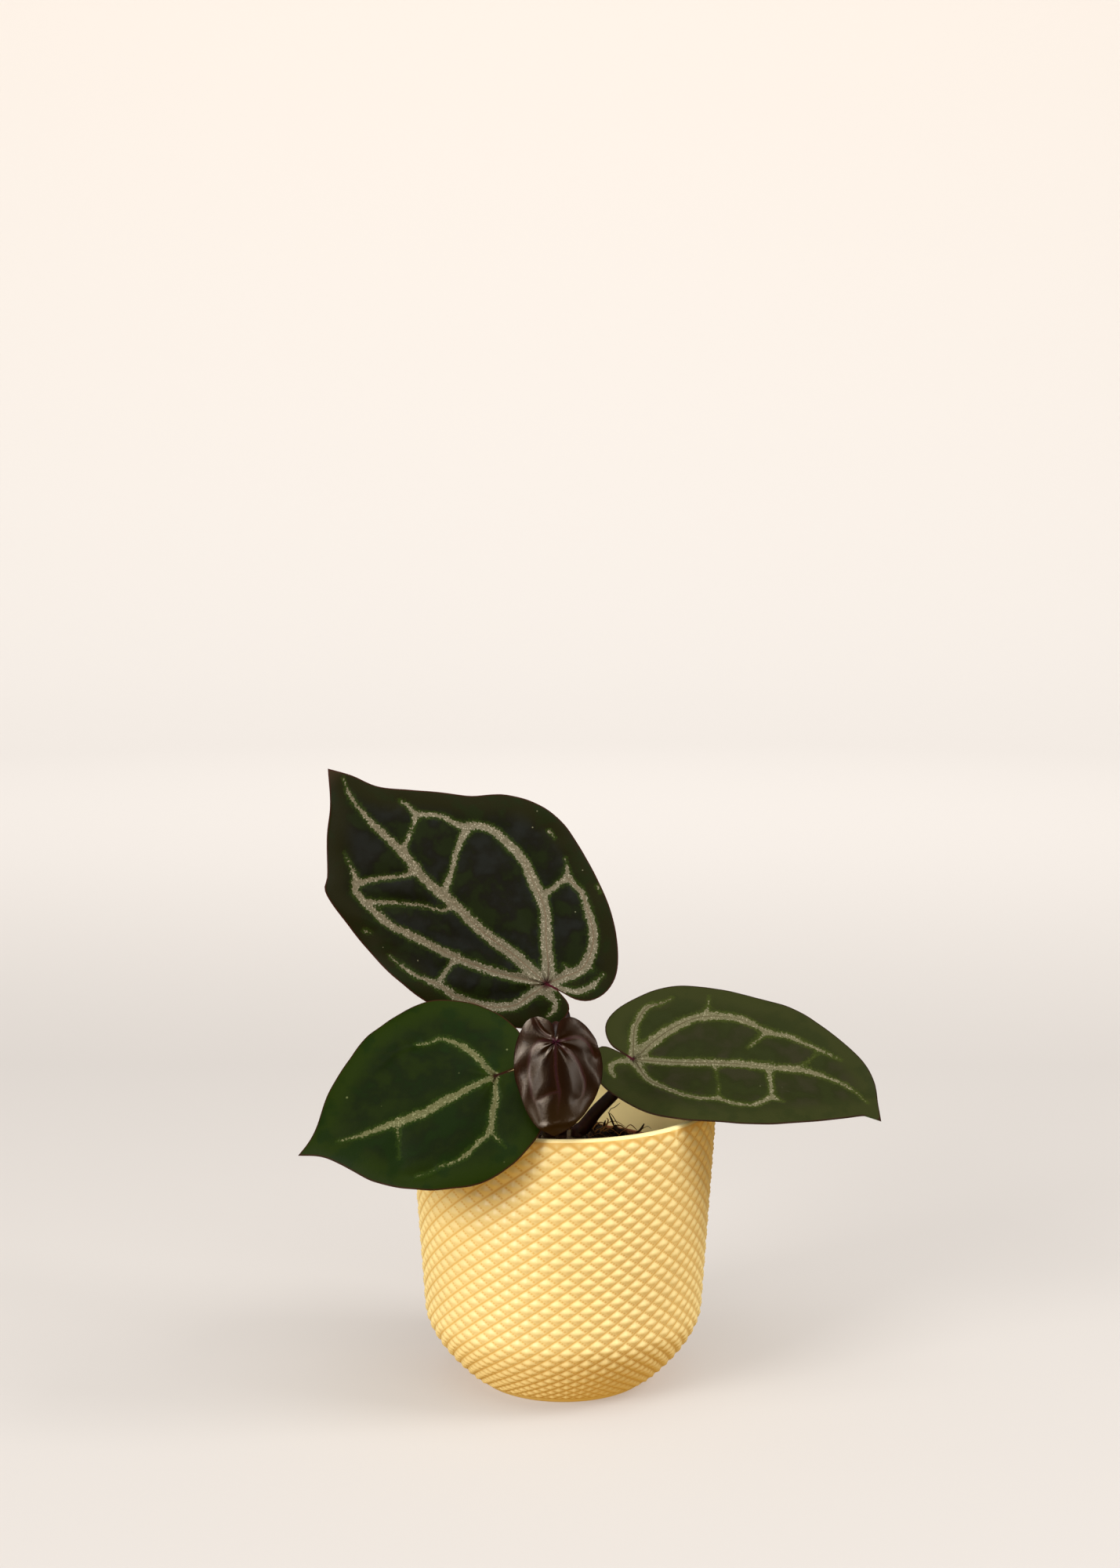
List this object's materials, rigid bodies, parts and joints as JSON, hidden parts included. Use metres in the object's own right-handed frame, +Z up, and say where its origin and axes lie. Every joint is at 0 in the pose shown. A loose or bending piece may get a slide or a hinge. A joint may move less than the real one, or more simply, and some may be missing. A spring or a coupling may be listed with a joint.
{
  "type": "potted anthurium",
  "caption": "Young potted anthurium with silver-veined heart-shaped leaves, in a small yellow cover pot with diamond relief.",
  "frame": {"origin": "centre of the cover pot's flat base, on the surface that it stands on", "axes": "+Z up along the pot's axis, -Y towards the front of the plant, +X to the viewer's right"},
  "size_m": [0.1389, 0.0833, 0.1505],
  "materials": {
    "cover_pot": "satin vanilla yellow",
    "grow_pot": "satin reddish brown",
    "soil": "dark moist potting mix with fibres",
    "crown": "dark maroon plant stem",
    "petiole": "dark maroon leaf stalk, slightly glossy",
    "leaf_back": "dark green velvety leaf with silver veins",
    "leaf_right": "grey-green satin leaf with silver veins",
    "leaf_left": "green satin leaf with pale veins",
    "leaf_young": "glossy bronze young leaf with mauve veins"
  },
  "bodies": {
    "root": {"cover_pot": "cover_pot", "grow_pot": "grow_pot", "soil": "soil", "crown": "crown", "petiole_back": "petiole", "petiole_right": "petiole", "petiole_left": "petiole", "petiole_young": "petiole", "leaf_back": "leaf_back", "leaf_right": "leaf_right", "leaf_left": "leaf_left", "leaf_young": "leaf_young"}
  },
  "joints": []
}
